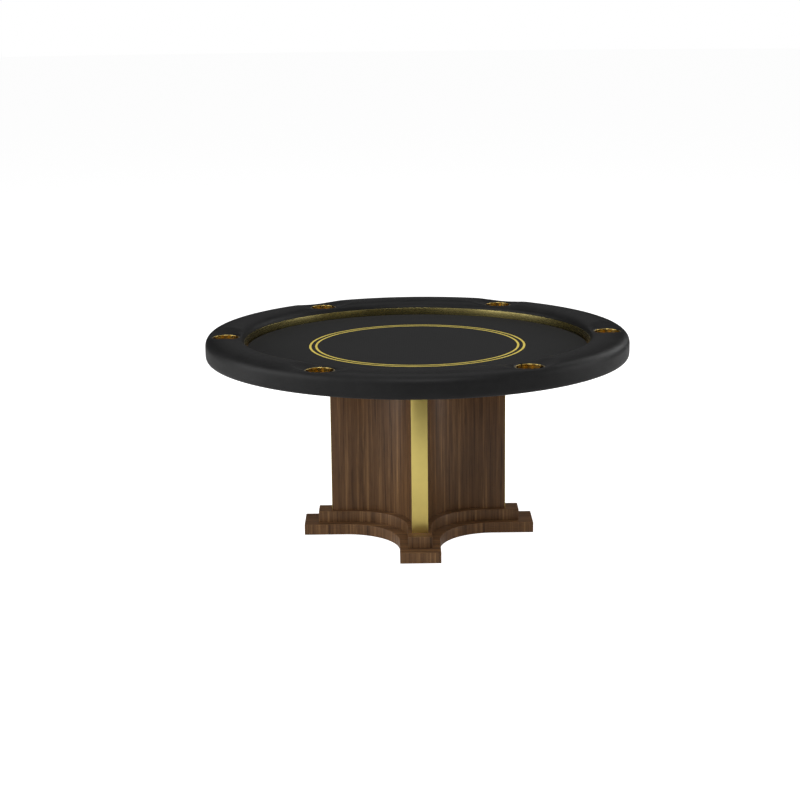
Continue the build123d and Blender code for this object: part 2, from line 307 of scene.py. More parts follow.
def makeBeech(name, along):
    # planed solid timber, grain along one axis
    look = beechLook
    material = startMaterial(name, Roughness=0.55, Specular_IOR_Level=0.3)
    scale = [1.0, 1.0, 1.0]
    scale[along] = look["drawnOut"]
    place = stretched(material, tuple(scale))
    grain = speckle(material, place, look["streaks"], 4, 0.6, 0.5)
    flecks = speckle(material, place, look["streaks"] * 6, 2, 0.6)
    colour = ramp(material, grain, [(0.3, look["dark"]), (0.7, look["light"])])
    shade = ramp(material, flecks, [(0.35, grey(0.8)), (0.6, grey(1.0))])
    feed(material, "Base Color", multiply(material, colour, shade))
    bump(material, grain, 0.2 * mm, 0.4)
    return material


def makePlywood():
    # birch faces, with the plies showing as bands on the edges
    material = startMaterial("birchPly", Roughness=0.6, Specular_IOR_Level=0.25)
    place = stretched(material, (0.05, 1, 1))
    grain = speckle(material, place, 70, 5, 0.6, 0.6)
    face = ramp(material, grain, [(0.3, (0.36, 0.24, 0.13)), (0.7, (0.52, 0.38, 0.23))])
    coords = addNode(material, "ShaderNodeTexCoord").outputs["Object"]
    plies = addNode(material, "ShaderNodeTexWave", {"bands_direction": "Z"}, Vector=coords,
                    Scale=140.0, Distortion=0.4, Detail=1.0, Detail_Scale=8.0)
    layers = ramp(material, plies.outputs["Fac"], [(0.3, grey(0.45)), (0.6, grey(1.0))])
    facing = addNode(material, "ShaderNodeNewGeometry").outputs["Normal"]
    upward = addNode(material, "ShaderNodeSeparateXYZ", Vector=facing).outputs["Z"]
    steepness = addNode(material, "ShaderNodeMath", {"operation": "ABSOLUTE"}, _0=upward)
    edge = addNode(material, "ShaderNodeMath", {"operation": "LESS_THAN"},
                   _0=steepness.outputs[0], _1=0.5)
    feed(material, "Base Color", multiply(material, face, layers, edge.outputs[0]))
    bump(material, grain, 0.1 * mm, 0.4)
    return material


# the brushing runs where its scale is small: up the strip, round the band
stripBrassLook = {
    "colour": (0.74, 0.60, 0.19),
    "tarnish": 0.06,
    "roughness": 0.36,
    "brushing": (1, 1, 0.01),
    "linesPerMetre": 900,
    "lineDepth": 0.03 * mm,
}
# the band is a darker copy of the strip's satin brass: its colour is painted shade, standing in for the
# shade and dim reflections the band has under the rail's inner edge
shadedBandBrassLook = {
    "colour": (0.34, 0.285, 0.11),
    "tarnish": 0.1,
    "roughness": 0.26,
    "brushing": (0.02, 0.02, 1),
    "linesPerMetre": 900,
    "lineDepth": 0.03 * mm,
}


def makeBrushedBrass(name, look):
    material = startMaterial(name, Metallic=1.0)
    brushed = speckle(material, stretched(material, look["brushing"]), look["linesPerMetre"], 3, 0.6)
    clouds = speckle(material, stretched(material, (1, 1, 1)), 14, 3, 0.6)
    duller = tuple(c * (1 - look["tarnish"]) for c in look["colour"])
    feed(material, "Base Color", ramp(material, clouds, [(0.35, duller), (0.65, look["colour"])]))
    rough = addNode(material, "ShaderNodeMapRange", Value=brushed)
    rough.inputs["To Min"].default_value = look["roughness"] * 0.8
    rough.inputs["To Max"].default_value = look["roughness"] * 1.25
    feed(material, "Roughness", rough.outputs["Result"])
    bump(material, brushed, look["lineDepth"], 0.5)
    return material


cupBrassLook = {
    "dark": (0.52, 0.385, 0.12),
    "light": (0.58, 0.43, 0.14),
    "smoothest": 0.12,
    "roughest": 0.18,
}


def makeCupBrass():
    look = cupBrassLook
    # spun brass: fine rings round the cup draw its reflections out upright
    material = startMaterial("cupBrass", Metallic=1.0, Anisotropic=0.85, Anisotropic_Rotation=0.25)
    turned = addNode(material, "ShaderNodeTangent", {"direction_type": "RADIAL", "axis": "Z"})
    feed(material, "Tangent", turned.outputs["Tangent"])
    clouds = speckle(material, stretched(material, (1, 1, 1)), 14, 3, 0.6)
    feed(material, "Base Color", ramp(material, clouds, [(0.35, look["dark"]), (0.65, look["light"])]))
    rough = addNode(material, "ShaderNodeMapRange", Value=clouds)
    rough.inputs["To Min"].default_value = look["smoothest"]
    rough.inputs["To Max"].default_value = look["roughest"]
    feed(material, "Roughness", rough.outputs["Result"])
    return material


vinylLook = {
    "colour": (0.0094, 0.0094, 0.0096),
    "worn": (0.0128, 0.0128, 0.013),
    "roughness": 0.42,
    "grainPerMetre": 620.0,
    "grainDepth": 0.12 * mm,
}


def makeVinyl():
    look = vinylLook
    material = startMaterial("railVinyl", Specular_IOR_Level=0.125)
    place = stretched(material, (1, 1, 1))
    warp = addNode(material, "ShaderNodeTexNoise", Vector=place, Scale=90.0, Detail=2.0)
    shifted = addNode(material, "ShaderNodeVectorMath", {"operation": "MULTIPLY_ADD"},
                      _0=warp.outputs["Color"], _1=(0.004, 0.004, 0.004), _2=place)
    cells = addNode(material, "ShaderNodeTexVoronoi", {"feature": "DISTANCE_TO_EDGE"},
                    Vector=shifted.outputs[0], Scale=look["grainPerMetre"])
    pebbles = ramp(material, cells.outputs["Distance"], [(0.0, grey(0.0)), (0.18, grey(1.0))])
    clouds = speckle(material, place, 9, 4, 0.6)
    feed(material, "Base Color", ramp(material, clouds, [(0.35, look["colour"]), (0.7, look["worn"])]))
    rough = addNode(material, "ShaderNodeMapRange", Value=clouds)
    rough.inputs["To Min"].default_value = look["roughness"] - 0.05
    rough.inputs["To Max"].default_value = look["roughness"] + 0.07
    feed(material, "Roughness", rough.outputs["Result"])
    bump(material, pebbles, look["grainDepth"], 0.5)
    return material


clothLook = {
    "colour": (0.0145, 0.0145, 0.0145),
    # raised: the lighter tone painted on the raised thread crossings, a painted highlight over the
    # darker gaps
    "raised": (0.021, 0.021, 0.021),
    "threadsPerMetre": 1000.0,
    "threadDepth": 0.12 * mm,
}


def addWeave(material, threadsPerMetre):
    # two sets of threads at right angles
    place = addNode(material, "ShaderNodeTexCoord").outputs["Object"]
    sets = []
    for direction in ("X", "Y"):
        wave = addNode(material, "ShaderNodeTexWave", {"bands_direction": direction}, Vector=place,
                       Scale=threadsPerMetre / math.tau / 3.2, Distortion=0.6, Detail=1.0,
                       Detail_Scale=2.0)
        sets.append(wave.outputs["Fac"])
    return addNode(material, "ShaderNodeMath", {"operation": "MULTIPLY"},
                   _0=sets[0], _1=sets[1]).outputs[0]


def makeCloth():
    look = clothLook
    material = startMaterial("speedCloth", Roughness=0.85, Specular_IOR_Level=0.08,
                             Sheen_Weight=0.02, Sheen_Roughness=0.4)
    weave = addWeave(material, look["threadsPerMetre"])
    clouds = speckle(material, stretched(material, (1, 1, 1)), 6, 4, 0.6)
    # the weave's colour follows its bump: the low gaps between threads are painted darker and the
    # raised crossings lighter, painted shade and highlight at thread scale
    base = ramp(material, weave, [(0.1, look["colour"]), (0.8, look["raised"])])
    shade = ramp(material, clouds, [(0.3, grey(0.93)), (0.7, grey(1.0))])
    feed(material, "Base Color", multiply(material, base, shade))
    bump(material, weave, look["threadDepth"], 0.5)
    return material


goldFoilLook = {
    "dark": (0.76, 0.59, 0.09),
    "light": (0.94, 0.75, 0.14),
    "smoothest": 0.38,
    "roughest": 0.5,
}


def makeGoldFoil():
    look = goldFoilLook
    material = startMaterial("goldFoil", Metallic=0.25, Specular_IOR_Level=0.4)
    weave = addWeave(material, clothLook["threadsPerMetre"])
    clouds = speckle(material, stretched(material, (1, 1, 1)), 30, 3, 0.6)
    feed(material, "Base Color", ramp(material, clouds, [(0.3, look["dark"]), (0.7, look["light"])]))
    rough = addNode(material, "ShaderNodeMapRange", Value=clouds)
    rough.inputs["To Min"].default_value = look["smoothest"]
    rough.inputs["To Max"].default_value = look["roughest"]
    feed(material, "Roughness", rough.outputs["Result"])
    bump(material, weave, clothLook["threadDepth"] * 0.5, 0.4)
    return material


def makeZinc():
    material = startMaterial("zincPlate", Metallic=1.0)
    patches = addNode(material, "ShaderNodeTexVoronoi", Vector=stretched(material, (1, 1, 1)),
                      Scale=260.0)
    tone = ramp(material, patches.outputs["Distance"], [(0.0, (0.50, 0.52, 0.55)),
                                                        (1.0, (0.68, 0.69, 0.70))])
    feed(material, "Base Color", tone)
    rough = addNode(material, "ShaderNodeMapRange", Value=patches.outputs["Distance"])
    rough.inputs["To Min"].default_value = 0.28
    rough.inputs["To Max"].default_value = 0.45
    feed(material, "Roughness", rough.outputs["Result"])
    return material


def makeNylon():
    material = startMaterial("footNylon", Base_Color=(0.02, 0.02, 0.021), Roughness=0.6)
    bump(material, speckle(material, stretched(material, (1, 1, 1)), 900, 2), 0.08 * mm, 0.4)
    return material


def makeFoam():
    material = startMaterial("railFoam", Roughness=0.95, Specular_IOR_Level=0.1)
    cells = addNode(material, "ShaderNodeTexVoronoi", Vector=stretched(material, (1, 1, 1)),
                    Scale=700.0)
    # the cells are painted darker towards their middles, where the bump sinks them: painted shade in
    # the pores
    feed(material, "Base Color", ramp(material, cells.outputs["Distance"],
                                      [(0.0, grey(0.2)), (0.6, grey(0.45))]))
    bump(material, cells.outputs["Distance"], 0.4 * mm, 0.6)
    return material


walnut = makeWalnut()
birchPly = makePlywood()
beechAlongX = makeBeech("beechAlongX", 0)
beechAlongY = makeBeech("beechAlongY", 1)
beechUpright = makeBeech("beechUpright", 2)
stripBrass = makeBrushedBrass("stripBrass", stripBrassLook)
# the band takes the darker copy of the brass, with painted shade in its colour
shadedBandBrass = makeBrushedBrass("shadedBandBrass", shadedBandBrassLook)
cupBrass = makeCupBrass()
railVinyl = makeVinyl()
speedCloth = makeCloth()
goldFoil = makeGoldFoil()
zincPlate = makeZinc()
footNylon = makeNylon()
railFoam = makeFoam()
print("Finishes made:", len(bpy.data.materials))


# hidden and underside parts keep their shape and take a finish

finishOfSlot = {
    "walnut": walnut,
    "plywood": birchPly,
    "hardwood": beechUpright,
    "satin_brass": stripBrass,
    "polished_brass": cupBrass,
    "gold_print": goldFoil,
    "black_vinyl": railVinyl,
    "foam": railFoam,
    "charcoal_cloth": speedCloth,
    "zinc_steel": zincPlate,
    "foot_nylon": footNylon,
}
finishOfNode = {"long_batten": beechAlongX, "cross_batten": beechAlongY}
for part in frame["record"]["subparts"]:
    node = cadNodes[part["node"]]
    finish = finishOfNode.get(part["node"], finishOfSlot[part["material_slot"]])
    if not node.material_slots:
        node.data.materials.append(None)
    for slot in node.material_slots:
        slot.material = finish
print("Finishes given to", len(cadNodes), "nodes")


# padded rail

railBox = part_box("rail_cover")
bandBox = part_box("brass_band")
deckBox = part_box("deck")
cupBoxes = [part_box("cup_holder_" + str(n + 1)) for n in range(cupCount)]
cupCentres = [(low + high) / 2 for low, high in cupBoxes]
cupRimRadius = (cupBoxes[0][1].x - cupBoxes[0][0].x) / 2
cupRimTop = cupBoxes[0][1].z
cupCircle = math.hypot(cupCentres[0].x, cupCentres[0].y)
cupStart = math.atan2(cupCentres[0].y, cupCentres[0].x)

railSizes = {
    "outerRadius": railBox[1].x,
    "innerRadius": bandBox[1].x + 0.2 * mm,
    "bottom": railBox[0].z,
    "top": railBox[1].z,
    "innerEnd": deckBox[1].z + 1.3 * mm,   # vinyl ends just above the deck behind the band
    "tuckRadius": 686 * mm,
    "crownRise": 12 * mm,
    "outerRound": 32 * mm,
    "innerRound": 27.5 * mm,
    "underRound": 13.5 * mm,
    "vinylThickness": 1.2 * mm,
    "columns": 384,                        # a multiple of six cups
    "blockHalf": 6,                        # half the patch round a cup, in columns
    "rowSpacing": 8.5 * mm,
    "rimRest": 1.3 * mm,                   # vinyl lies this far under the rim's top
    "sleeveRadius": 48.6 * mm,
    "sleeveEnd": 717.5 * mm,
    "tightRoll": 9 * mm,
    "softRoll": 70 * mm,
    "softShare": 0.84,
    "softNarrowing": 1.5,                  # the hollow is this much longer than it is wide
    "pleatEvery": 4,                       # columns
    "pleatDepth": 1.1 * mm,
    "unevenness": 0.35 * mm,
}


def railSection():
    # the rail's outline as (radius, height), from the inner wall over the top to the tuck
    s = railSizes
    middle = (s["outerRadius"] + s["innerRadius"]) / 2
    half = (s["outerRadius"] - s["innerRadius"]) / 2
    arch = (half ** 2 + s["crownRise"] ** 2) / (2 * s["crownRise"])
    archZ = s["top"] - arch
    outerX = s["outerRadius"] - s["outerRound"]
    innerX = s["innerRadius"] + s["innerRound"]
    outerZ = archZ + math.sqrt((arch - s["outerRound"]) ** 2 - (outerX - middle) ** 2)
    innerZ = archZ + math.sqrt((arch - s["innerRound"]) ** 2 - (innerX - middle) ** 2)
    outerTurn = math.atan2(outerZ - archZ, outerX - middle)
    innerTurn = math.atan2(innerZ - archZ, innerX - middle)
    underX = s["outerRadius"] - s["underRound"]
    underZ = s["bottom"] + s["underRound"]
    line = [(s["innerRadius"], s["innerEnd"])]
    line += arcPoints(innerX, innerZ, s["innerRound"], math.pi, innerTurn, 24)
    line += arcPoints(middle, archZ, arch, innerTurn, outerTurn, 60)[1:]
    line += arcPoints(outerX, outerZ, s["outerRound"], outerTurn, 0, 24)[1:]
    line += arcPoints(underX, underZ, s["underRound"], 0, -math.pi / 2, 16)
    line.append((s["tuckRadius"], s["bottom"]))
    return line


class Run:
    # a line that can be read by the distance along it
    def __init__(self, points):
        self.points = [Vector(p) for p in points]
        self.marks = [0.0]
        for a, b in zip(self.points, self.points[1:]):
            self.marks.append(self.marks[-1] + (b - a).length)
        self.length = self.marks[-1]

    def at(self, distance):
        distance = min(max(distance, 0.0), self.length)
        for i in range(1, len(self.marks)):
            if distance <= self.marks[i]:
                span = self.marks[i] - self.marks[i - 1]
                t = (distance - self.marks[i - 1]) / span if span else 0.0
                return self.points[i - 1].lerp(self.points[i], t)
        return self.points[-1]


def heightOnTop(run, radius):
    # height of the rail's top at a radius
    for a, b in zip(run.points[1:], run.points[2:]):
        if a.x <= radius <= b.x:
            t = (radius - a.x) / (b.x - a.x) if b.x > a.x else 0.0
            return a.y + (b.y - a.y) * t
    return run.points[-1].y


def rolledHeight(height, spot):
    # the vinyl sinks to the nearest cup's rim in a tight roll inside a softer hollow
    s = railSizes
    seat = cupRimTop - s["rimRest"]
    if height <= seat:
        return height
    offset = min((spot - c.xy for c in cupCentres), key=lambda o: o.length)
    outward = spot.normalized()
    across = offset.dot(outward)
    along = (offset - outward * across).length
    distance = offset.length
    longDistance = math.hypot(along, across * s["softNarrowing"])
    tight = min(max((distance - cupRimRadius) / s["tightRoll"], 0.0), 1.0)
    soft = min(max((longDistance - cupRimRadius) / s["softRoll"], 0.0), 1.0)
    tightLift = math.sqrt(1 - (1 - tight) ** 2)
    softLift = soft * soft * (3 - 2 * soft)
    lift = tightLift * (1 - s["softShare"]) + softLift * s["softShare"]
    return seat + (height - seat) * lift


def joinRings(work, outer, inner):
    count = len(outer)
    for i in range(count):
        j = (i + 1) % count
        work.faces.new((outer[i], outer[j], inner[j], inner[i]))


def makeRailCover():
    s = railSizes
    run = Run(railSection())
    columns = s["columns"]
    half = s["blockHalf"]
    perCup = columns // cupCount
    columnGap = math.tau * cupCircle / columns
    middle = next(d * mm for d in range(40, 200) if run.at(d * mm).x >= cupCircle)
    rowGap = columnGap * 0.97
    blockLow = middle - half * rowGap
    blockHigh = middle + half * rowGap
    below = max(2, round(blockLow / s["rowSpacing"]))
    above = max(2, round((run.length - blockHigh) / s["rowSpacing"]))
    rows = [blockLow * i / below for i in range(below)]
    rows += [middle + k * rowGap for k in range(-half, half + 1)]
    rows += [blockHigh + (run.length - blockHigh) * (i + 1) / above for i in range(above)]
    middleRow = below + half

    def onRail(distance, angle):
        spot = run.at(distance)
        point = Vector((spot.x * math.cos(angle), spot.x * math.sin(angle), spot.y))
        point.z = rolledHeight(point.z, point.xy)
        return point

    work = bmesh.new()
    grid = {}
    for r, distance in enumerate(rows):
        for c in range(columns):
            fromCup = (c + half) % perCup - half
            if abs(fromCup) < half and abs(r - middleRow) < half:
                continue
            angle = cupStart + math.tau * c / columns
            point = onRail(distance, angle)
            if point.z < s["bottom"] + 1 * mm:
                inward = (s["outerRadius"] - s["underRound"] - point.xy.length)
                depth = max(0.0, inward / (s["outerRadius"] - s["underRound"] - s["tuckRadius"]))
                wave = (0.0, -1.0, -0.35, 0.0)[c % s["pleatEvery"]]
                point.z += s["pleatDepth"] * wave * min(depth, 1.0)
            grid[r, c] = work.verts.new(point)
    for r in range(len(rows) - 1):
        for c in range(columns):
            d = (c + 1) % columns
            corners = [grid.get(k) for k in ((r, c), (r, d), (r + 1, d), (r + 1, c))]
            fromCup = (c + half) % perCup - half
            inBlock = -half <= fromCup < half and middleRow - half <= r < middleRow + half
            if None not in corners and not inBlock:
                work.faces.new(corners)

    # a patch of rings round each cup, from the square edge of the gap in to the rim, and then
    # the vinyl's turned-down lip and its sleeve in the bore, as (radius, height)
    around = [(m, -half) for m in range(-half, half)]
    around += [(half, k) for k in range(-half, half)]
    around += [(m, half) for m in range(half, -half, -1)]
    around += [(-half, k) for k in range(half, -half, -1)]
    shares = (0.84, 0.68, 0.53, 0.4, 0.28, 0.18, 0.1, 0.045, 0.0)
    seat = cupRimTop - s["rimRest"]
    lips = [
        (cupRimRadius - 0.9 * mm, seat - 0.1 * mm),
        (s["sleeveRadius"] + 0.4 * mm, seat - 0.9 * mm),
        (s["sleeveRadius"], seat - 2.6 * mm),
        (s["sleeveRadius"], seat - 8 * mm),
        (s["sleeveRadius"], s["sleeveEnd"]),
    ]
    for number, centre in enumerate(cupCentres):
        cupAngle = cupStart + math.tau * number / cupCount
        outward = Vector((math.cos(cupAngle), math.sin(cupAngle)))
        along = Vector((-outward.y, outward.x))
        ring = [grid[middleRow + k, (number * perCup + m) % columns] for m, k in around]
        for share in shares:
            smooth = share * share * (3 - 2 * share)
            nextRing = []
            for m, k in around:
                corner = Vector((m * columnGap, k * rowGap))
                spot = corner.normalized() * cupRimRadius
                spot = spot.lerp(corner, share)
                flat = centre.xy + along * spot.x + outward * spot.y
                height = heightOnTop(run, flat.length)
                onCircle = Vector((flat.x, flat.y, rolledHeight(height, flat)))
                draped = onRail(middle + spot.y, cupAngle + spot.x / cupCircle)
                nextRing.append(work.verts.new(onCircle.lerp(draped, smooth)))
            joinRings(work, ring, nextRing)
            ring = nextRing
        for radius, height in lips:
            nextRing = []
            for m, k in around:
                aim = Vector((m * columnGap, k * rowGap)).normalized() * radius
                flat = centre.xy + along * aim.x + outward * aim.y
                nextRing.append(work.verts.new((flat.x, flat.y, height)))
            joinRings(work, ring, nextRing)
            ring = nextRing

    for v in work.verts:
        if v.co.z > s["bottom"] + 4 * mm:
            outward = Vector((v.co.x, v.co.y, 0)).normalized()
            gap = min((c.xy - v.co.xy).length for c in cupCentres)
            calm = min(max((gap - cupRimRadius) / (20 * mm), 0.0), 1.0)
            lump = noise.noise(v.co * 14) + 0.5 * noise.noise(v.co * 31)
            v.co -= outward * max(lump, 0.0) * s["unevenness"] * calm
    mesh = meshFrom("railCover", work)
    cover = addPiece("rail_cushion", mesh, railVinyl, None, 180)
    addModifier(cover, "vinylThickness", "SOLIDIFY", thickness=s["vinylThickness"], offset=-1)
    addModifier(cover, "smooth", "SUBSURF", levels=1, render_levels=1)
    return cover


railCushion = makeRailCover()
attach(railCushion, "table")
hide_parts("rail_cover", "rail_foam")
print("Rail made:", len(railCushion.data.polygons), "faces")


# staples that hold the turned-in vinyl

stapleSizes = {
    "count": 96,
    "inset": 9 * mm,
    "width": 10 * mm,
    "wire": 0.9 * mm,
    "wireRound": 0.2 * mm,
    "stand": 0.5 * mm,         # how far a staple stands off the rail's underside
    "sunk": 0.6 * mm,
    "startAngle": 0.01,
}


def makeStaples():
    s = stapleSizes
    work = bmesh.new()
    radius = railSizes["tuckRadius"] + s["inset"]
    height = railSizes["bottom"] - s["stand"] / 2
    for n in range(s["count"]):
        turn = Matrix.Rotation(math.tau * n / s["count"] + s["startAngle"], 4, "Z")
        place = turn @ Matrix.Translation((radius, 0, height))
        size = Matrix.Diagonal((s["wire"], s["width"], s["stand"] + s["sunk"], 1))
        made = bmesh.ops.create_cube(work, size=1, matrix=place @ size)
        edges = {e for v in made["verts"] for e in v.link_edges}
        bmesh.ops.bevel(work, geom=list(edges), offset=s["wireRound"], segments=1, affect="EDGES")
    return addPiece("cover_staples", meshFrom("coverStaples", work), zincPlate)


coverStaples = makeStaples()


# cup holders

cupSizes = {
    "wall": 1.2 * mm,
    "innerRadius": 45.5 * mm,
    "rimThickness": 1.2 * mm,
    "floorRound": 4 * mm,
    "rimRound": 1.6 * mm,
    "baseRaised": 0.6 * mm,    # the middle of the base is pressed up, inside a foot ring
    "ringUnder": (0.55, 0.62),   # where the ring starts and ends, as shares of the outer radius
    "ringInside": (0.53, 0.6),
    "steps": 128,
}


def makeCup(number):
    s = cupSizes
    low, high = cupBoxes[number]
    centre = cupCentres[number]
    rim = cupRimRadius
    inner = s["innerRadius"]
    outer = inner + s["wall"]
    top = high.z
    floor = low.z + s["wall"]
    outside = softCorners([
        (0, low.z + s["baseRaised"]),
        (outer * s["ringUnder"][0], low.z + s["baseRaised"]),
        (outer * s["ringUnder"][1], low.z),
        (outer, low.z),
        (outer, top - s["rimThickness"]),
        (rim - 0.4 * mm, top - s["rimThickness"]),
    ], s["floorRound"])
    inside = softCorners([
        (rim - 0.4 * mm, top),
        (inner, top),
        (inner, floor),
        (outer * s["ringInside"][1], floor),
        (outer * s["ringInside"][0], floor + s["baseRaised"]),
        (0, floor + s["baseRaised"]),
    ], s["rimRound"], 6)
    lip = arcPoints(rim - 0.6 * mm, top - s["rimThickness"] / 2, s["rimThickness"] / 2,
                    -math.pi / 2, math.pi / 2, 6)
    profile = outside[:-1] + lip + inside[1:]
    place = str(number + 1)
    mesh = spun("cup" + place, profile, s["steps"], False, centre.xy)
    cup = addPiece("cup_holder_" + place + "_spun", mesh, cupBrass, "cup_" + place)
    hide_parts("cup_holder_" + place)
    return cup


for cupNumber in range(cupCount):
    makeCup(cupNumber)
print("Cup holders made")


# brass band round the playing field

bandSizes = {"thickness": 2 * mm, "edgeRound": 0.7 * mm, "steps": 432}


def makeBand():
    s = bandSizes
    outer = bandBox[1].x
    inner = outer - s["thickness"]
    low, top = bandBox[0].z, bandBox[1].z
    r = s["edgeRound"]
    profile = [(outer, low), (outer, top - r)]
    profile += arcPoints(outer - r, top - r, r, 0, math.pi / 2, 4)[1:]
    profile += arcPoints(inner + r, top - r, r, math.pi / 2, math.pi, 4)
    profile += [(inner, (low + top) / 2), (inner, low)]
    band = addPiece("field_band", spun("fieldBand", profile, s["steps"], True), shadedBandBrass)
    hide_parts("brass_band")
    return band


makeBand()


# playing field: cloth pulled over the board, and two gold rings

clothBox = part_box("field_cloth")
clothSizes = {
    "radius": clothBox[1].x,
    "top": clothBox[1].z,
    "underside": clothBox[0].z,
    "edgeRound": 3.5 * mm,
    "underRound": 1.5 * mm,
    "turnedIn": 566 * mm,
    "thickness": 1.0 * mm,
    "belowGold": 0.1 * mm,     # the gold rings stand this far out of the cloth
    "steps": 384,
}


def makeFieldCloth():
    s = clothSizes
    top = s["top"] - s["belowGold"]
    edge = s["edgeRound"]
    under = s["underRound"]
    profile = [(0, top)]
    profile += [(s["radius"] * k / 12, top) for k in range(1, 12)]
    profile += arcPoints(s["radius"] - edge, top - edge, edge, math.pi / 2, 0, 8)
    profile.append((s["radius"], (top + s["underside"]) / 2))
    profile += arcPoints(s["radius"] - under, s["underside"] + under, under, 0, -math.pi / 2, 5)
    profile.append((s["turnedIn"], s["underside"]))
    run = Run(profile)
    cloth = addPiece("field_cloth_wrap", spun("fieldCloth", profile, s["steps"]), speedCloth)
    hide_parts("field_cloth", "field_foam")
    return cloth


goldSizes = {"width": 8 * mm, "thickness": 0.2 * mm, "edgeRound": 0.05 * mm, "steps": 384}


def makeGoldRing(node, name):
    s = goldSizes
    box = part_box(node)
    outer = box[1].x
    inner = outer - s["width"]
    top = box[1].z
    low = top - s["thickness"]
    r = s["edgeRound"]
    profile = [(outer, low), (outer, top - r), (outer - r, top), (inner + r, top), (inner, top - r),
               (inner, low)]
    ringPiece = addPiece(name, spun(name, profile, s["steps"], True), goldFoil)
    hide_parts(node)
    return ringPiece


makeFieldCloth()
makeGoldRing("gold_line_outer", "gold_ring_outer")
makeGoldRing("gold_line_inner", "gold_ring_inner")
print("Playing field made")


# pedestal column: four bent panels and four brass strips

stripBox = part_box("brass_strip_right")
columnSizes = {
    "halfArm": stripBox[1].y,
    "woodReach": stripBox[0].x,
    "bottom": stripBox[0].z,
    "top": stripBox[1].z,
    "bayRadius": 180 * mm,
    "panelThickness": 9 * mm,
    "panelEase": 0.8 * mm,
    "stripEase": 0.35 * mm,
    "arcSteps": 40,
}
bayNames = ("back_right", "back_left", "front_left", "front_right")
armNames = ("right", "back", "left", "front")


def turnedOutline(outline, quarterTurns):
    angle = quarterTurns * math.pi / 2
    c, s = round(math.cos(angle)), round(math.sin(angle))
    return [(x * c - y * s, x * s + y * c) for x, y in outline]


def makeColumn():
    s = columnSizes
    corner = s["halfArm"] + s["bayRadius"]
    inside = s["halfArm"] - s["panelThickness"]
    outline = [(s["woodReach"], s["halfArm"])]
    outline += arcPoints(corner, corner, s["bayRadius"], -math.pi / 2, -math.pi, s["arcSteps"])
    outline += [(s["halfArm"], s["woodReach"]), (inside, s["woodReach"])]
    outline += arcPoints(corner, corner, s["bayRadius"] + s["panelThickness"], -math.pi,
                         -math.pi / 2, s["arcSteps"])
    outline.append((s["woodReach"], inside))
    for turn, name in enumerate(bayNames):
        mesh = slab("panel" + str(turn), turnedOutline(outline, turn), s["bottom"], s["top"],
                    s["panelEase"])
        panel = addPiece("column_veneer_" + name, mesh, walnut)
        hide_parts("column_panel_" + name)
    strip = [(s["woodReach"], -s["halfArm"]), (stripBox[1].x, -s["halfArm"]),
             (stripBox[1].x, s["halfArm"]), (s["woodReach"], s["halfArm"])]
    for turn, name in enumerate(armNames):
        mesh = slab("strip" + str(turn), turnedOutline(strip, turn), s["bottom"], s["top"],
                    s["stripEase"])
        piece = addPiece("arm_strip_" + name, mesh, stripBrass)
        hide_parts("brass_strip_" + name)


makeColumn()
print("Column made")


# plinth: two stepped crosses

plinthSizes = {"bayRadius": 200 * mm, "ease": 1.4 * mm, "easeSteps": 3, "arcSteps": 44}
footHoles = {
    "padRadius": 21 * mm,
    "padDepth": 5 * mm,
    "insertRadius": 7.55 * mm,
    "insertDepth": 18 * mm,
    "stemRadius": 5.6 * mm,
    "stemDepth": 34 * mm,
    "rodOffset": 120 * mm,
    "rodPocketRadius": 16 * mm,
    "rodPocketDepth": 16.5 * mm,
    "steps": 48,
}


def makeHoleCutter(bottom, footRadius):
    h = footHoles
    start = bottom - 5 * mm
    recess = bottom + h["padDepth"]
    insertEnd = recess + h["insertDepth"]
    stemEnd = bottom + h["stemDepth"]
    pocketEnd = bottom + h["rodPocketDepth"]
    footHole = [
        (0, start),
        (h["padRadius"], start),
        (h["padRadius"], recess),
        (h["insertRadius"], recess),
        (h["insertRadius"], insertEnd),
        (h["stemRadius"], insertEnd),
        (h["stemRadius"], stemEnd),
        (0, stemEnd),
    ]
    rodHole = [
        (0, start),
        (h["rodPocketRadius"], start),
        (h["rodPocketRadius"], pocketEnd),
        (0, pocketEnd),
    ]
    joined = bmesh.new()
    for turn in range(armCount):
        angle = turn * math.pi / 2
        for profile, away in ((footHole, footRadius), (rodHole, h["rodOffset"])):
            centre = (away * math.cos(angle), away * math.sin(angle))
            mesh = spun("hole", profile, h["steps"], False, centre)
            joined.from_mesh(mesh)
            bpy.data.meshes.remove(mesh)
    return meshFrom("holeCutter", joined)


def makePlinth():
    s = plinthSizes
    for node, name in (("lower_plinth", "plinth_lower_step"), ("upper_plinth", "plinth_upper_step")):
        low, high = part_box(node)
        outline = crossOutline(high.x, armHalfWidth(node), s["bayRadius"], s["arcSteps"])
        step = addPiece(name, slab(name, outline, low.z, high.z, s["ease"], s["easeSteps"]), walnut)
        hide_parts(node)
        if node == "lower_plinth":
            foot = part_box("foot_pad_right")
            footRadius = (foot[0].x + foot[1].x) / 2
            cutter = bpy.data.objects.new("cutter", makeHoleCutter(low.z, footRadius))
            bpy.context.scene.collection.objects.link(cutter)
            addModifier(step, "holes", "BOOLEAN", object=cutter, operation="DIFFERENCE", solver="EXACT")
            applyModifiers(step)
            bpy.data.objects.remove(cutter)


makePlinth()
print("Plinth made")


# floor, light and camera

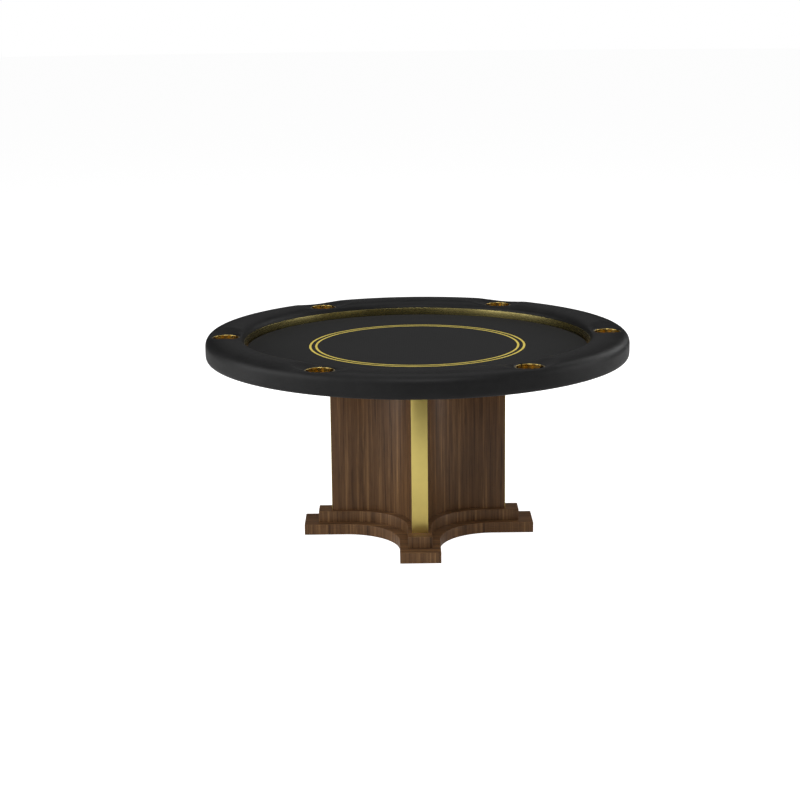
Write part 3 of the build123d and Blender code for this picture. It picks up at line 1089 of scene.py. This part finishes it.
floorLook = {"radius": 60.0, "colour": (0.86, 0.86, 0.86), "glowSeen": 0.97, "glowCast": 0.01}
lightSettings = {
    # name: (place, aim, width, height, watts)
    "leftSoftbox": ((-4.2, -2.4, 2.2), (0, 0, 0.45), 2.4, 2.6, 95),
    "leftWash": ((-5.0, 0.0, 1.5), (0, 0, 0.6), 2.4, 2.4, 77),
    "rightWash": ((5.0, 0.0, 1.5), (0, 0, 0.6), 2.4, 2.4, 66),
    "rightEdge": ((3.6, -3.2, 2.0), (0, 0, 0.5), 1.2, 2.2, 8),
    "rightBack": ((4.0, 3.0, 2.5), (0, 0, 0.6), 2.4, 2.4, 45),
    "rightHigh": ((3.6, 1.8, 4.2), (0.3, 0, 0.6), 1.6, 1.6, 16),
    "frontHigh": ((0.0, -5.0, 4.5), (0, 0, 0.6), 3.0, 2.0, 171),
    "frontLow": ((-2.5, -5.0, 1.2), (0, 0, 0.5), 2.0, 2.0, 12),
    "overhead": ((0.0, 0.4, 5.0), (0, 0, 0.7), 5.0, 5.0, 103),
    "back": ((0.0, 5.0, 2.5), (0, 0, 0.6), 3.0, 2.0, 4.5),
}
worldLook = {"seen": 1.0, "reflected": 0.01}
cameraSettings = {
    "distance": 6.1611,        # from the table's axis, level
    "height": 1.913,
    "turned": 0.857,           # degrees round the table from straight in front
    "heading": -0.598,         # degrees off the table's axis
    "pitch": 13.0175,
    "roll": -0.6174,
    "lens": 78.124,
    "sensor": 36.0,
    "clipEnd": 500.0,
}


def makeFloor():
    look = floorLook
    material = startMaterial("paleFloor", Roughness=0.9, Specular_IOR_Level=0.0,
                             Emission_Color=(1.0, 1.0, 1.0))
    tone = speckle(material, stretched(material, (1, 1, 1)), 0.6, 2)
    feed(material, "Base Color", ramp(material, tone, [(0.3, look["colour"]), (0.7, grey(0.88))]))
    # the floor looks white without throwing all of that light up at the table
    paths = addNode(material, "ShaderNodeLightPath")
    glow = addNode(material, "ShaderNodeMapRange", Value=paths.outputs["Is Camera Ray"])
    glow.inputs["To Min"].default_value = look["glowCast"]
    glow.inputs["To Max"].default_value = look["glowSeen"]
    feed(material, "Emission Strength", glow.outputs["Result"])
    work = bmesh.new()
    bmesh.ops.create_circle(work, cap_ends=True, radius=look["radius"], segments=96)
    mesh = meshFrom("floor", work)
    floor = bpy.data.objects.new("floor", mesh)
    mesh.materials.append(material)
    bpy.context.scene.collection.objects.link(floor)


def makeLights():
    for name, (place, aim, width, height, watts) in lightSettings.items():
        data = bpy.data.lights.new(name, "AREA")
        data.shape = "RECTANGLE"
        data.size = width
        data.size_y = height
        data.energy = watts
        light = bpy.data.objects.new(name, data)
        light.location = place
        light.rotation_euler = (Vector(aim) - Vector(place)).to_track_quat("-Z", "Y").to_euler()
        bpy.context.scene.collection.objects.link(light)


def makeWorld():
    world = bpy.data.worlds.new("studio")
    bpy.context.scene.world = world
    world.use_nodes = True
    nodes = world.node_tree.nodes
    links = world.node_tree.links
    backdrop = nodes["Background"]
    backdrop.inputs["Strength"].default_value = worldLook["seen"]
    around = nodes.new("ShaderNodeBackground")
    around.inputs["Color"].default_value = (1, 1, 1, 1)
    around.inputs["Strength"].default_value = worldLook["reflected"]
    backdrop.inputs["Color"].default_value = (1, 1, 1, 1)
    paths = nodes.new("ShaderNodeLightPath")
    choose = nodes.new("ShaderNodeMixShader")
    links.new(paths.outputs["Is Camera Ray"], choose.inputs[0])
    links.new(around.outputs[0], choose.inputs[1])
    links.new(backdrop.outputs[0], choose.inputs[2])
    links.new(choose.outputs[0], nodes["World Output"].inputs["Surface"])


def makeCamera():
    s = cameraSettings
    data = bpy.data.cameras.new("camera")
    data.lens = s["lens"]
    data.sensor_width = s["sensor"]
    data.clip_end = s["clipEnd"]
    camera = bpy.data.objects.new("camera", data)
    turned = math.radians(s["turned"])
    place = Vector((-s["distance"] * math.sin(turned), -s["distance"] * math.cos(turned), s["height"]))
    heading = Matrix.Rotation(-math.radians(s["turned"] + s["heading"]), 4, "Z")
    tilt = Matrix.Rotation(math.pi / 2 - math.radians(s["pitch"]), 4, "X")
    roll = Matrix.Rotation(math.radians(s["roll"]), 4, "Z")
    camera.matrix_world = Matrix.Translation(place) @ heading @ tilt @ roll
    bpy.context.scene.collection.objects.link(camera)
    bpy.context.scene.camera = camera


makeFloor()
makeLights()
makeWorld()
makeCamera()
bpy.context.scene.view_settings.view_transform = "Standard"
print("Floor, light and camera set")
